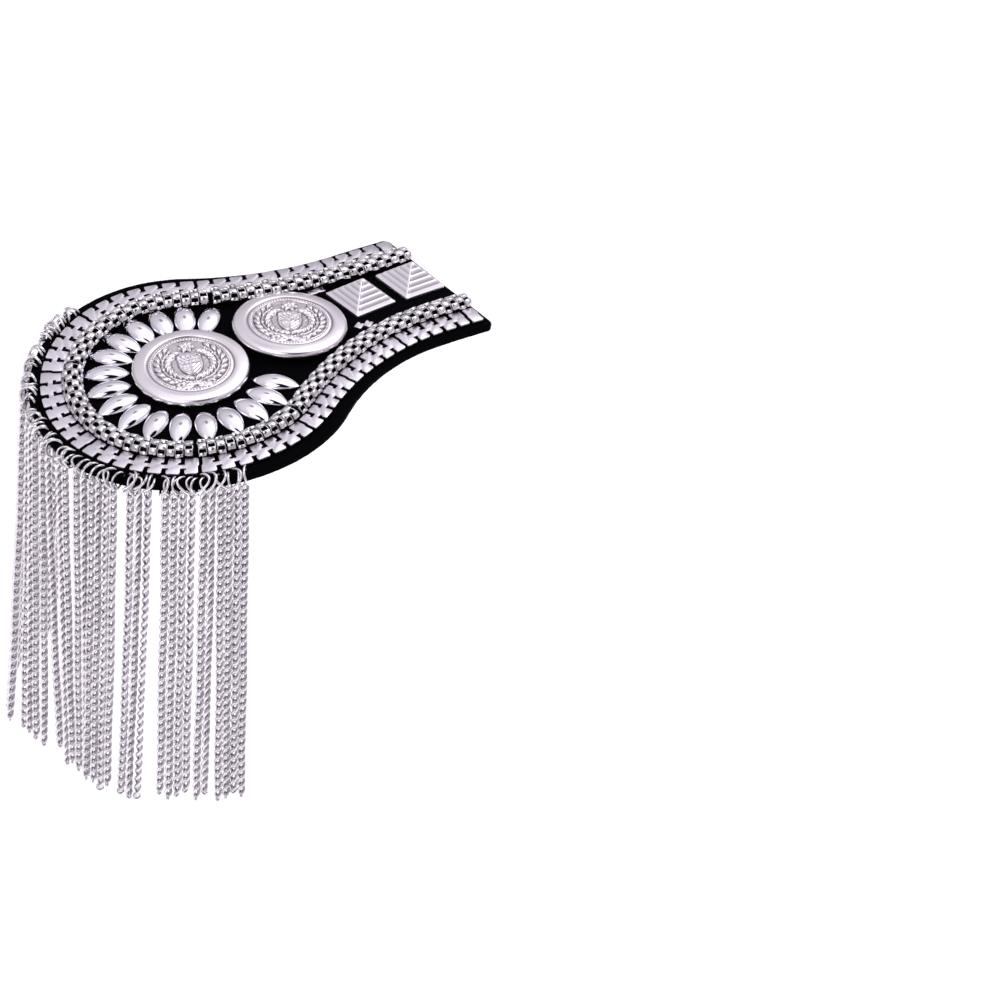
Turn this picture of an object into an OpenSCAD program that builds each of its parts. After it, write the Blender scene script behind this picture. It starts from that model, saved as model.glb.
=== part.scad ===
// Chain epaulette: an arched felt board for one shoulder, edged with two rows of chain, set with
// buttons, petals and studs, and hung with a fringe of fine chains around its round end.
// +X points to the wearer's neck, -Y to the front and +Z up. The origin is on the underside of
// the board, at the crown of its arch, where it sits on the shoulder.

/* [Felt board] */
// Thickness of the felt
felt_t = 2.5; // [2:0.1:3]
// Radius of the arch, at the underside of the felt
bend_r = 455; // [400:5:800]
// Radius of the round outer end
round_r = 51; // [50.5:0.1:52]
// Distance from the origin out to the centre of the round end
round_x = 23; // [22:0.5:24]
// Radius of the hollow between the round end and the neck
waist_r = 85; // [82:1:90]
// Half of the neck's width
neck_half = 27.8; // [27:0.1:29]
// Distance from the origin in to the square-cut end of the neck
neck_x = 74.2; // [73:0.1:78]
// Radius of the neck's corners
corner_r = 2; // [1:0.5:4]

/* [Rows of chain] */
// Radius of the outer row's edge around the round end
trim_round_r = 47.2; // [47:0.1:47.6]
// Radius of the same edge in the hollow
trim_waist_r = 110; // [108:1:112]
// Half width of the same edge at the neck
trim_neck_half = 25.5; // [25.2:0.1:26]
// Width of the flat chain's plates
plate_w = 6.7; // [6:0.1:6.8]
// Height of the plates above the felt
plate_top = 1.5; // [1:0.1:2]
// Length of the slit at each side of a plate joint
slit_l = 2.1; // [1:0.1:2.5]
// Width of that slit
slit_w = 0.8; // [0.4:0.1:1.2]
// Distance from the origin in to the ends of the flat chain
flat_reach = 72.5; // [71:0.5:73]
// Plates in each length of flat chain, from the front of the neck around to the back
plates_in_length = [1, 5, 5, 5, 7, 7, 7, 5, 7, 5, 3, 4, 1];
// Width of the mesh chain
mesh_w = 6.4; // [5.5:0.1:6.6]
// Thickness of the mesh chain
mesh_h = 4.3; // [3.5:0.1:5]
// Distance from the origin in to the ends of the mesh chain
mesh_reach = 74; // [72:0.5:74]
// Length of each piece of mesh chain but the last, which takes the rest
mesh_lengths = [88, 35.5, 65, 58];
// Gap between two pieces of mesh chain
mesh_gap = 1; // [0.6:0.1:2]

/* [Buttons] */
// Radius of a button
button_r = 18.1; // [17:0.1:18.2]
// Height of a button
button_h = 4; // [3.6:0.1:4.3]
// Centre of the outer button
outer_button_at = [-21.9, 2.4];
// Centre of the inner button
inner_button_at = [15.5, 0.5];

/* [Petals] */
// Number of petals around the outer button
petals = 17; // [12:1:17]
// Centre of the ring of petals
petal_ring_at = [-22, 1.9];
// Direction of the first petal
first_petal = 41.5; // [40:0.5:44]
// Angle from one petal to the next
petal_step = 16.8; // [16.8:0.1:17]
// Distance from the ring's centre to a petal's centre
petal_ring_r = 26.5; // [26.4:0.1:26.5]
// Length of a petal
petal_l = 14; // [12:0.1:14]
// Width of a petal
petal_w = 6.8; // [5:0.1:6.8]
// Height of a petal
petal_h = 2.5; // [1.5:0.1:2.6]

/* [Studs] */
// Side of a square stud
stud_w = 16; // [14:0.5:16]
// Height of a stud
stud_h = 7.7; // [4:0.1:8]
// Height of a stud's upright skirt
stud_skirt = 0.9; // [0.6:0.1:1.2]
// Ridges on each face
stud_ridges = 5; // [3:1:6]
// Turn of a stud about its own centre
stud_turn = 3; // [0:0.5:5]
// Centre of the stud beside the inner button
inner_stud_at = [44.7, 3];
// Centre of the stud at the neck
neck_stud_at = [64.5, 3.4];

/* [Fringe] */
// Mean radius of a jump ring
ring_r = 2.6; // [2.5:0.1:2.7]
// Thickness of its wire
ring_wire = 0.56; // [0.4:0.02:0.6]
// Distance from the felt's edge out to a jump ring's centre
ring_out = 1.1; // [1:0.1:1.2]
// Radius of a hole for a jump ring
hole_r = 0.9; // [0.85:0.05:0.95]
// Distance from the felt's edge in to the holes
hole_in = 1.3; // [1.2:0.1:1.4]
// Width of a fine chain
strand_w = 2.5; // [2:0.1:2.5]
// Distance from the felt's edge out to the top of a fine chain
strand_out = 1.9; // [1.8:0.1:2]
// Length of a fine chain
strand_l = 118; // [60:1:160]

/* [Pins] */
// Length of a brooch pin's bar
pin_l = 30; // [24:1:40]
// Width of the bar
pin_w = 5; // [4:0.5:6]
// Distance from the origin out to the outer pin
outer_pin_x = 36; // [30:1:45]
// Distance from the origin in to the neck pin
neck_pin_x = 50; // [40:1:60]

/* [Hidden] */
$fn = 96;
// Gap left for glue under each piece that lies on the felt
glue = 0.15;
// Facets of the long arch
arch_fn = 1440;
// More than the width of the board
board_span = 130;
// More than the fall of the arch at the board's ends
arch_fall = 14;

// Radius of the felt's top, and height of the middle of the felt
top_r = bend_r + felt_t;
middle_h = felt_t / 2;

// The hollow of the felt and its tangent point on the round end
felt_waist_x = sqrt(pow(round_r + waist_r, 2) - pow(neck_half + waist_r, 2)) - round_x;
felt_waist_y = neck_half + waist_r;
felt_tangent_y = round_r * felt_waist_y / (round_r + waist_r);

// The same hollow for the rows of chain, whose parallel curves all share its centre
trim_waist_y = trim_neck_half + trim_waist_r;
trim_waist_x = sqrt(pow(trim_round_r + trim_waist_r, 2) - pow(trim_waist_y, 2)) - round_x;
trim_angle = atan2(trim_waist_y, trim_waist_x + round_x);

// Distance of each row's centre line in from the trim's edge
flat_inset = plate_w / 2;
mesh_inset = plate_w + glue + mesh_w / 2;
mesh_facets = 10;
mesh_ring_step = 7;

plate_pitch = row_length(flat_inset, flat_reach) / sum_before(plates_in_length, len(plates_in_length));

// The clusters of the fringe: the angle of their first and last chain about the round end, how many
// chains they have, how far the first one leans away from the neck, how much more each next one
// does, and how much longer than the rest they are
FIRST_ANGLE = 0;
LAST_ANGLE = 1;
STRANDS = 2;
LEAN = 3;
SPREAD = 4;
EXTRA = 5;
clusters = [
    [102.5, 105.8, 2, 6.5, 0, 3],
    [110.5, 117.0, 3, 7, 0, 3],
    [126.0, 132.4, 3, 7, 0, 2],
    [140.0, 150.2, 4, 7, 0, 2.5],
    [159.8, 166.4, 3, 3.6, -1.2, 0.5],
    [173.0, 176.2, 2, 1.2, -4.3, -2.5],
    [182.7, 185.6, 2, -1.6, 0, 0.5],
    [191.1, 194.4, 2, 0.3, 0, -1.5],
    [197.8, 206.2, 4, 3.2, 0, -1.7],
    [212.4, 218.6, 3, 4.4, 0.2, -1.9],
    [224.5, 233.3, 4, 2.6, 0, -1.3],
    [237.3, 240.1, 2, 3, 0, 0.2],
    [243.0, 251.3, 4, 1, 0, 2.5]
];
back_clusters = 4;
strand_facets = 8;
strand_rings = 4;
// How far the lengths of neighbouring chains differ
strand_uneven = 1.4;

petal_names = [for (i = [1:petals]) str("petal_", two_digits(i))];
flat_names = [for (i = [1:len(plates_in_length)]) str("flat_chain_", two_digits(i))];
mesh_names = [for (i = [0:len(mesh_lengths)]) str("mesh_chain_", i + 1)];
fringe_names = [for (i = [1:len(clusters)]) str("fringe_", two_digits(i))];

function two_digits(i) = i < 10 ? str("0", i) : str(i);
function sum_before(list, k) = k == 0 ? 0 : list[k - 1] + sum_before(list, k - 1);

// Lengths of a row's three stretches: along the neck, through the hollow, around the round end
function neck_stretch(reach) = reach - trim_waist_x;
function waist_stretch(inset) = (trim_waist_r + inset) * (90 - trim_angle) * PI / 180;
function round_stretch(inset) = (trim_round_r - inset) * (360 - 2 * trim_angle) * PI / 180;
function row_length(inset, reach) =
    2 * neck_stretch(reach) + 2 * waist_stretch(inset) + round_stretch(inset);

// A plan point of a row, along its centre line from the front of the neck and off it outward
function row_point(inset, reach, along, off) =
    let(
        neck = neck_stretch(reach),
        waist = neck + waist_stretch(inset),
        whole = row_length(inset, reach),
        from_end = min(along, whole - along),
        half = along > whole / 2 ? -1 : 1,
        hollow_turn = (from_end - neck) / (trim_waist_r + inset) * 180 / PI,
        round_turn = -trim_angle - (from_end - waist) / (trim_round_r - inset) * 180 / PI,
        hollow_r = trim_waist_r + inset - off,
        end_r = trim_round_r - inset + off
    )
    from_end < neck ? [reach - from_end, half * (inset - trim_neck_half - off)] :
    from_end < waist ?
        [trim_waist_x - hollow_r * sin(hollow_turn), half * (hollow_r * cos(hollow_turn) - trim_waist_y)] :
    [end_r * cos(round_turn) - round_x, half * end_r * sin(round_turn)];

// The place above a plan point, at a height over the felt's top
function above(point, height) =
    let(tilt = asin(point[0] / top_r))
    [(top_r + height) * sin(tilt), point[1], (top_r + height) * cos(tilt) - bend_r];

// Plan point at an angle about the round end, and the height of the felt's middle there
function rim_point(angle, out) =
    [(round_r + out) * cos(angle) - round_x, (round_r + out) * sin(angle)];
function middle_z(x) = sqrt(pow(bend_r + middle_h, 2) - x * x) - bend_r;

// Angle of one chain of a cluster, and how far its length is from the usual
function strand_angle(row, k) =
    row[FIRST_ANGLE] + (row[LAST_ANGLE] - row[FIRST_ANGLE]) * k / (row[STRANDS] - 1);
function strand_length(row, angle) = strand_l + row[EXTRA] + strand_uneven * sin(211 * angle);

// A closed solid through rings of points, every ring with as many
module skin(rings) {
    sides = len(rings[0]);
    end = (len(rings) - 1) * sides;
    polyhedron(
        points = [for (ring = rings) each ring],
        faces = concat(
            [for (k = [1:sides - 2]) [0, k, k + 1]],
            [for (k = [1:sides - 2]) [end, end + k + 1, end + k]],
            [for (at = [0:sides:end - 1], k = [0:sides - 1])
                [at + k, at + sides + k, at + sides + (k + 1) % sides]],
            [for (at = [0:sides:end - 1], k = [0:sides - 1])
                [at + k, at + sides + (k + 1) % sides, at + (k + 1) % sides]]
        )
    );
}

// The layer of the arch between two heights over the felt's underside
module arch_layer(low, high) {
    translate([0, 0, -bend_r]) rotate([90, 0, 0]) difference() {
        cylinder(r = bend_r + high, h = board_span, center = true, $fn = arch_fn);
        cylinder(r = bend_r + low, h = board_span + 2, center = true, $fn = arch_fn);
    }
}

// Moves what is drawn at the origin onto the felt's top, square to it
module on_felt(at) {
    translate([0, 0, -bend_r]) rotate([0, asin(at[0] / top_r), 0])
        translate([0, at[1], top_r + glue]) children();
}

// Turns what is drawn beside the origin to a ring's or hole's place at the rim
module at_rim(angle, out) {
    at = rim_point(angle, out);
    translate([at[0], at[1], middle_z(at[0])]) rotate([0, 0, angle]) children();
}

module felt_outline() {
    translate([-round_x, 0]) circle(r = round_r, $fn = 360);
    difference() {
        translate([-round_x, -felt_tangent_y]) square([round_x + felt_waist_x, 2 * felt_tangent_y]);
        for (side = [-1, 1])
            translate([felt_waist_x, side * felt_waist_y]) circle(r = waist_r, $fn = 360);
    }
    translate([0, -neck_half]) square([neck_x - corner_r, 2 * neck_half]);
    translate([0, corner_r - neck_half]) square([neck_x, 2 * (neck_half - corner_r)]);
    for (side = [-1, 1])
        translate([neck_x - corner_r, side * (neck_half - corner_r)]) circle(r = corner_r);
}

module felt_board() {
    color([0.04, 0.04, 0.05]) difference() {
        intersection() {
            translate([0, 0, -arch_fall]) linear_extrude(2 * arch_fall) felt_outline();
            arch_layer(0, felt_t);
        }
        for (row = clusters, k = [0:row[STRANDS] - 1])
            at_rim(strand_angle(row, k), -hole_in)
                cylinder(r = hole_r, h = 4 * felt_t, center = true, $fn = 24);
    }
}

// One side of a length of plates, with a slit at each joint
function plate_side(first, count, side) = [
    for (k = [first:first + count - 1])
        let(start = k * plate_pitch + slit_w / 2, end = (k + 1) * plate_pitch - slit_w / 2)
        each concat(
            [row_point(flat_inset, flat_reach, start, side * plate_w / 2),
             row_point(flat_inset, flat_reach, end, side * plate_w / 2)],
            k == first + count - 1 ? [] :
            [row_point(flat_inset, flat_reach, end, side * (plate_w / 2 - slit_l)),
             row_point(flat_inset, flat_reach, end + slit_w, side * (plate_w / 2 - slit_l))]
        )
];

function backward(list) = [for (k = [len(list) - 1:-1:0]) list[k]];

module flat_chain(k) {
    first = sum_before(plates_in_length, k);
    count = plates_in_length[k];
    color([0.80, 0.79, 0.83]) intersection() {
        translate([0, 0, -arch_fall]) linear_extrude(2 * arch_fall)
            polygon(concat(plate_side(first, count, 1), backward(plate_side(first, count, -1))));
        arch_layer(felt_t + glue, felt_t + plate_top);
    }
}

// One oval ring of points around the mesh chain, drawn in at the cut ends
function mesh_ring(along, fullness) = [
    for (k = [0:mesh_facets - 1])
        let(turn = 360 * k / mesh_facets)
        above(
            row_point(mesh_inset, mesh_reach, along, fullness * mesh_w / 2 * cos(turn)),
            glue + mesh_h / 2 * (1 + fullness * sin(turn))
        )
];

module mesh_chain(k) {
    whole = row_length(mesh_inset, mesh_reach);
    start = sum_before(mesh_lengths, k) + (k == 0 ? 0 : mesh_gap / 2);
    end = k == len(mesh_lengths) ? whole : sum_before(mesh_lengths, k + 1) - mesh_gap / 2;
    steps = ceil((end - start - 2) / mesh_ring_step);
    color([0.74, 0.73, 0.77]) skin(concat(
        [mesh_ring(start, 0.75)],
        [for (i = [0:steps]) mesh_ring(start + 1 + (end - start - 2) * i / steps, 1)],
        [mesh_ring(end, 0.75)]
    ));
}

// A button: a rounded edge drawn in at its foot, a sloping rim, a groove and a low domed centre
module button(at) {
    relief_r = 0.72 * button_r;
    rim_top = 0.8 * button_h;
    color([0.84, 0.83, 0.87]) on_felt(at) rotate_extrude(angle = 360) polygon(concat(
        [[0, 0], [button_r - 0.8, 0], [button_r, 0.9], [button_r, 1.5], [button_r - 0.25, 2.2],
         [button_r - 0.7, 2.7], [relief_r + 1.2, rim_top], [relief_r + 0.6, rim_top], [relief_r, rim_top - 0.35]],
        [for (k = [1:8]) [relief_r * cos(k * 90 / 8),
            rim_top - 0.35 + (button_h - rim_top + 0.35) * sin(k * 90 / 8)]]
    ));
}

// A petal: a pointed oval cut from a spindle that lies part-way in the felt
module petal(k) {
    turn = first_petal + petal_step * k;
    at = petal_ring_at + petal_ring_r * [cos(turn), sin(turn)];
    side_r = (pow(petal_l / 2, 2) + pow(petal_w / 2, 2)) / petal_w;
    spindle_r = (pow(petal_w / 2, 2) / petal_h + petal_h) / 2;
    sunk = spindle_r - petal_h;
    long_r = (pow(petal_l / 2, 2) + pow(petal_h, 2)) / (2 * petal_h);
    color([0.88, 0.87, 0.90]) on_felt(at) rotate([0, 0, turn]) intersection() {
        linear_extrude(petal_h + 1) intersection_for (side = [-1, 1])
            translate([0, side * (petal_w / 2 - side_r)]) circle(r = side_r);
        translate([0, 0, -sunk]) rotate([0, 90, 0]) rotate_extrude() intersection() {
            translate([spindle_r - long_r, 0]) circle(r = long_r);
            translate([0, -petal_l / 2]) square([spindle_r + 1, petal_l]);
        }
    }
}

// Half of a stud's stepped side, from its foot up to its point
function stud_side() =
    let(run = stud_w / 2 / stud_ridges, rise = (stud_h - stud_skirt) / stud_ridges)
    concat([[stud_w / 2, 0]], [
        for (k = [0:stud_ridges - 1], foot = [1, 0])
            foot == 1 ? [stud_w / 2 - k * run, stud_skirt + k * rise] :
            [stud_w / 2 - (k + 0.75) * run, stud_skirt + (k + 1) * rise]
    ]);

module stud(at) {
    side = stud_side();
    color([0.80, 0.79, 0.84]) on_felt(at) rotate([0, 0, stud_turn]) intersection_for (quarter = [0, 90])
        rotate([0, 0, quarter]) rotate([90, 0, 0]) linear_extrude(stud_w, center = true)
            polygon(concat(side, backward([for (point = side) [-point[0], point[1]]])));
}

module jump_rings(first_row, last_row) {
    color([0.78, 0.77, 0.81])
        for (row = [for (k = [first_row:last_row]) clusters[k]], k = [0:row[STRANDS] - 1])
            at_rim(strand_angle(row, k), ring_out) rotate([90, 0, 0]) rotate_extrude($fn = 48)
                translate([ring_r, 0]) circle(d = ring_wire, $fn = 24);
}

// A cluster of fine chains, each a thin bar from under its jump ring down to its end
module fringe(k) {
    row = clusters[k];
    across = strand_out - ring_out;
    under_ring = sqrt(ring_r * ring_r - across * across) + ring_wire + glue;
    color([0.76, 0.75, 0.79]) for (i = [0:row[STRANDS] - 1]) {
        angle = strand_angle(row, i);
        lean = row[LEAN] + row[SPREAD] * i;
        top = rim_point(angle, strand_out);
        skin([for (ring = [0:strand_rings - 1])
            let(down = ring / (strand_rings - 1))
            [for (facet = [0:strand_facets - 1])
                let(turn = -360 * (facet + 0.5) / strand_facets)
                [top[0] - lean * pow(down, 1.2) + strand_w / 2 * cos(turn),
                 top[1] + strand_w / 2 * sin(turn),
                 middle_z(top[0]) - under_ring - strand_length(row, angle) * down]]
        ]);
    }
}

// A plain brooch pin across the board's underside: a bar, two lugs and the pin between them
module brooch_pin(x) {
    bar_t = 0.8;
    lug = [3, 1.4, 3.2];
    wire_r = 0.5;
    tilt = asin(x / bend_r);
    color([0.70, 0.70, 0.72]) translate([0, 0, -bend_r]) rotate([0, tilt, 0])
        translate([0, 0, bend_r - glue - bar_t]) {
            translate([-pin_w / 2, -pin_l / 2, 0]) cube([pin_w, pin_l, bar_t]);
            for (side = [-1, 1])
                translate([-lug[0] / 2, side * (pin_l - lug[1]) / 2 - lug[1] / 2, -lug[2]])
                    cube([lug[0], lug[1], lug[2] + bar_t / 2]);
            translate([0, 0, -lug[2] + 1.2]) rotate([90, 0, 0])
                cylinder(r = wire_r, h = pin_l - lug[1], center = true, $fn = 24);
        }
}

felt_board();
for (k = [0:len(flat_names) - 1]) flat_chain(k);
for (k = [0:len(mesh_names) - 1]) mesh_chain(k);
button(outer_button_at);  // outer_button
button(inner_button_at);  // inner_button
for (k = [0:petals - 1]) petal(k);
stud(inner_stud_at);  // inner_stud
stud(neck_stud_at);  // neck_stud
jump_rings(0, back_clusters - 1);  // jump_rings_back
jump_rings(back_clusters, len(clusters) - 1);  // jump_rings_front
for (k = [0:len(fringe_names) - 1]) fringe(k);
brooch_pin(-outer_pin_x);  // outer_pin
brooch_pin(neck_pin_x);  // neck_pin
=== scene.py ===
import random
from math import asin, atan2, cos, pi, radians, sin, sqrt

import bmesh
import bpy
import numpy as np
from mathutils import Matrix, noise, Vector
from mathutils.geometry import delaunay_2d_cdt


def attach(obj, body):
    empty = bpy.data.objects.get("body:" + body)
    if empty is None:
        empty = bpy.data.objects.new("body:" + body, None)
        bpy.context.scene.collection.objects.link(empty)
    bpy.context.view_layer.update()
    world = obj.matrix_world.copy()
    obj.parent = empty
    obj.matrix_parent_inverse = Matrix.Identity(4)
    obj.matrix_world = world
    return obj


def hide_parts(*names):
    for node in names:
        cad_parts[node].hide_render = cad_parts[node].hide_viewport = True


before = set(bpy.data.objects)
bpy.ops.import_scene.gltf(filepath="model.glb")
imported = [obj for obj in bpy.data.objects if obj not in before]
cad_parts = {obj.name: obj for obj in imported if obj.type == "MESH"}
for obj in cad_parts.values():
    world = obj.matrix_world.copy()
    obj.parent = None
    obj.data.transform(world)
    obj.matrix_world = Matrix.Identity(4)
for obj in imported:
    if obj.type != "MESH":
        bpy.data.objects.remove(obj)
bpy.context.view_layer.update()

# Driving sizes of the object, in metres
MM = 0.001
FELT_T = 2.5 * MM
BEND_R = 455 * MM
TOP_R = BEND_R + FELT_T
ROUND_R = 51 * MM
ROUND_X = 23 * MM
WAIST_R = 85 * MM
NECK_HALF = 27.8 * MM
NECK_X = 74.2 * MM
CORNER_R = 2 * MM
GLUE = 0.15 * MM

# The felt's cut edge: how far in and how high each of its lines is, in millimetres
EDGE_INSET = 0.35
EDGE_LINES = [(0.12, -0.1), (0.0, -0.38), (-0.03, -0.9), (0.02, -1.4), (0.0, -2.1), (0.12, -2.4)]
FIBRES = 5200

# Rows of chain, as parallel curves that share their centres
TRIM_ROUND_R = 47.2 * MM
TRIM_WAIST_R = 110 * MM
TRIM_NECK_HALF = 25.5 * MM
PLATE_W = 6.7 * MM
PLATE_TOP = 1.5 * MM
PLATE_LOW = 0.6 * MM
PLATE_BEVEL = 0.1 * MM
FLAT_REACH = 72.5 * MM
PLATES_IN_LENGTH = [1, 5, 5, 5, 7, 7, 7, 5, 7, 5, 3, 4, 1]
MESH_W = 6.4 * MM
MESH_H = 4.3 * MM
MESH_REACH = 74 * MM
MESH_LENGTHS = [88 * MM, 35.5 * MM, 65 * MM, 58 * MM]
MESH_GAP = 1.2 * MM
MESH_TRIM = 1.5 * MM
MESH_ROWS = 8
MESH_PERIOD = 5.2 * MM

# Set pieces
BUTTON_R = 18.1 * MM
RELIEF_R = 0.72 * BUTTON_R
BUTTON_H = 4 * MM
BUTTON_FRONT = radians(-129)
# Each button's node, place, turn, seed, size and tilt
BUTTONS = [
    ("outer_button", (-21.9 * MM, 2.4 * MM), -0.45, 1, 1.02, 0.0),
    ("inner_button", (15.2 * MM, 0.9 * MM), -0.62, 2, 1.0, radians(2.4)),
]
PETALS = 17
PETAL_RING_AT = (-22 * MM, 1.9 * MM)
FIRST_PETAL = radians(41.5)
PETAL_STEP = radians(16.8)
PETAL_RING_R = 26.7 * MM
PETAL_L = 15.0 * MM
PETAL_W = 7.2 * MM
PETAL_H = 2.5 * MM
PETAL_EDGE = 0.22 * MM
STUD_W = 16 * MM
STUD_H = 7.7 * MM
STUD_SKIRT = 0.9 * MM
STUD_BAND = 1.1 * MM
STUD_STEP = 0.75 * MM
STUD_RIDGES = 5
STUD_TURN = radians(3)
STUDS = [("inner_stud", (44.7 * MM, 3 * MM)), ("neck_stud", (64.5 * MM, 3.4 * MM))]
# Plan place in millimetres and turn of the single links
STRAY_LINKS = [(34.9, -9.2, 0.5), (37.9, -9.9, 0.55), (33.4, 13.3, -0.1), (36.2, 13.2, -0.15)]

# Jump rings
HOLE_R = 0.6 * MM
HOLE_SIDES = 12
HOLE_IN = 2.0 * MM
HOLE_FAR = 3.2 * MM
HOLE_GAP = 1.5 * MM
RING_WIRE = 0.8 * MM
RING_LIFT = 0.8 * MM
RING_SPLAY = 0.36
RING_STRAY = 0.24
RING_SLANT = 0.65
RING_DROOP = (-0.1, 0.2)
RING_LEAN = (0.0, 0.35)
RING_TRIES = 60

# Fringe
STRAND_OUT = 1.9 * MM
STRAND_SAG = 1.3 * MM
STRAND_FACING = radians(-39)
LINK_PITCH = 3.2 * MM
LINK_WIRE = 1.08 * MM
LINK_L = LINK_PITCH + 2 * LINK_WIRE
LINK_W = 2.8 * MM
LINK_TWIST, LINK_SLANT = radians(66), radians(6)
END_L = 3.0 * MM
END_W = 2.8 * MM
END_WIRE = 0.7 * MM

# The studio's brightness by the height of a direction, from -1 straight down to 1 straight up
SKY = [
    (-1, 0.4), (-0.05, 0.4), (0, 0.4), (0.2, 0.44), (0.35, 0.55), (0.6, 0.72), (0.76, 0.76), (0.88, 1.0),
    (1, 1.1),
]
# Its zones: how each joins in, direction, inner and outer angle, level inside and outside
ZONES = [
    ("ADD", (0.6, 0.1, 0.8), 14, 38, 0.5, 0.0),
    ("MULTIPLY", (0.33, 0.52, 0.78), 4, 8, 0.35, 1.0),
    ("MULTIPLY", (-0.2, -0.46, 0.865), 23, 27, 0.005, 1.0),
]

# The camera: its angles, where the photo shows the board's crown, and its scale there
AZIMUTH, ELEVATION, ROLL = radians(-39.174), radians(37.955), radians(1.71)
CROWN_PX = (252.245, 349.428)
PX_PER_METRE = 3209.5
CAMERA_FAR = 2.5
IMAGE_PX = 1000
SENSOR_MM = 36

# Names of the nodes, as the frame has them
FLAT_NODES, MESH_NODES, FRINGE_NODES, RING_NODES = (
    sorted(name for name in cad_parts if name.startswith(start))
    for start in ("flat_chain", "mesh_chain", "fringe", "jump_rings")
)


# Mesh making

class Soup:
    """Points and faces gathered from many small shapes, with a tone for each shape or point."""

    def __init__(self):
        self.points, self.faces, self.tones = [], [], []
        self.count = 0

    def add(self, points, faces, tone=0.5):
        self.points.append(np.asarray(points, float))
        self.faces.extend([[i + self.count for i in face] for face in faces])
        self.tones.append(np.broadcast_to(tone, len(points)))
        self.count += len(points)

    def make(self, name, material, sharp_deg=None):
        mesh = bpy.data.meshes.new(name)
        mesh.from_pydata(np.concatenate(self.points).tolist(), [], self.faces)
        tone = mesh.attributes.new("tone", "FLOAT", "POINT")
        tone.data.foreach_set("value", np.concatenate(self.tones).astype(np.float32))
        mesh.validate()
        mesh.shade_smooth()
        if sharp_deg is not None:
            mesh.set_sharp_from_angle(angle=radians(sharp_deg))
        mesh.materials.append(material)
        obj = bpy.data.objects.new(name, mesh)
        bpy.context.scene.collection.objects.link(obj)
        return obj


def settle(obj, node):
    """The piece rides on the one body, and stands for its node."""
    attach(obj, "root")
    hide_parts(node)
    return obj


def face_out(obj):
    """Makes the faces of a closed mesh face out."""
    work = bmesh.new()
    work.from_mesh(obj.data)
    bmesh.ops.recalc_face_normals(work, faces=work.faces)
    work.to_mesh(obj.data)
    work.free()


def unit(vectors):
    """A vector or rows of vectors, brought to length one."""
    return vectors / np.linalg.norm(vectors, axis=-1, keepdims=True)


def full_turn(count):
    """Evenly spaced angles around one turn."""
    return np.linspace(0, 2 * pi, count, endpoint=False)


def circle(radius, turn, centre=(0, 0)):
    """Plan points on a circle, at the given angles."""
    return np.column_stack([centre[0] + radius * np.cos(turn), centre[1] + radius * np.sin(turn)])


def raised(plan, height):
    """Plan points, all at one height."""
    return np.column_stack([plan, np.full(len(plan), height)])


def loop(start, count):
    """The pairs of neighbours around a closed loop of points."""
    return [(start + i, start + (i + 1) % count) for i in range(count)]


def grid_faces(rows, cols, closed=False):
    """Faces of a grid of rows by cols points, closed across the columns if asked."""
    pairs = loop(0, cols)[:None if closed else -1]
    return [
        [r * cols + i, r * cols + j, (r + 1) * cols + j, (r + 1) * cols + i]
        for r in range(rows - 1) for i, j in pairs
    ]


def solid_faces(rows, cols):
    """Faces of a closed solid through rows of cols points, with a cap on each end."""
    last = (rows - 1) * cols
    caps = [list(range(cols))[::-1], list(range(last, last + cols))]
    return grid_faces(rows, cols, closed=True) + caps


def bar_loop(path, radius, sides):
    """Points and faces of a round bar along a closed path."""
    along = unit(np.roll(path, -1, 0) - np.roll(path, 1, 0))
    side = np.cross(along, [0.0, 0.0, 1.0])
    weak = np.linalg.norm(side, axis=1) < 0.05
    side[weak] = np.cross(along[weak], [1.0, 0.0, 0.0])
    side = unit(side)
    up = np.cross(side, along)
    turn = full_turn(sides)[:, None]
    ring = np.cos(turn) * side[:, None] + np.sin(turn) * up[:, None]
    points = (path[:, None] + radius * ring).reshape(-1, 3)
    faces = grid_faces(len(path) + 1, sides, closed=True)
    return points, [[i % len(points) for i in face] for face in faces]


def placed(points, origin, x_axis, y_axis, z_axis):
    """Points moved from their own axes to a place in the row frame."""
    return np.asarray(points) @ np.array([x_axis, y_axis, z_axis]) + np.asarray(origin)


# The arch and the rows on it

def above(x, y, height):
    """The place over a plan point, at a height over the felt's top. Takes numbers or arrays."""
    x, y, height = np.broadcast_arrays(np.asarray(x, float), y, height)
    tilt = np.arcsin(x / TOP_R)
    radius = TOP_R + height
    return np.stack([radius * np.sin(tilt), y, radius * np.cos(tilt) - BEND_R], -1)


def felt_axes(x):
    """The felt's own X, Y and Z directions at a plan x."""
    tilt = asin(x / TOP_R)
    return np.array([[cos(tilt), 0, -sin(tilt)], [0, 1, 0], [sin(tilt), 0, cos(tilt)]])


TRIM_WAIST_Y = TRIM_NECK_HALF + TRIM_WAIST_R
TRIM_WAIST_X = sqrt((TRIM_ROUND_R + TRIM_WAIST_R) ** 2 - TRIM_WAIST_Y ** 2) - ROUND_X
TRIM_ANGLE = atan2(TRIM_WAIST_Y, TRIM_WAIST_X + ROUND_X)


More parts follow.
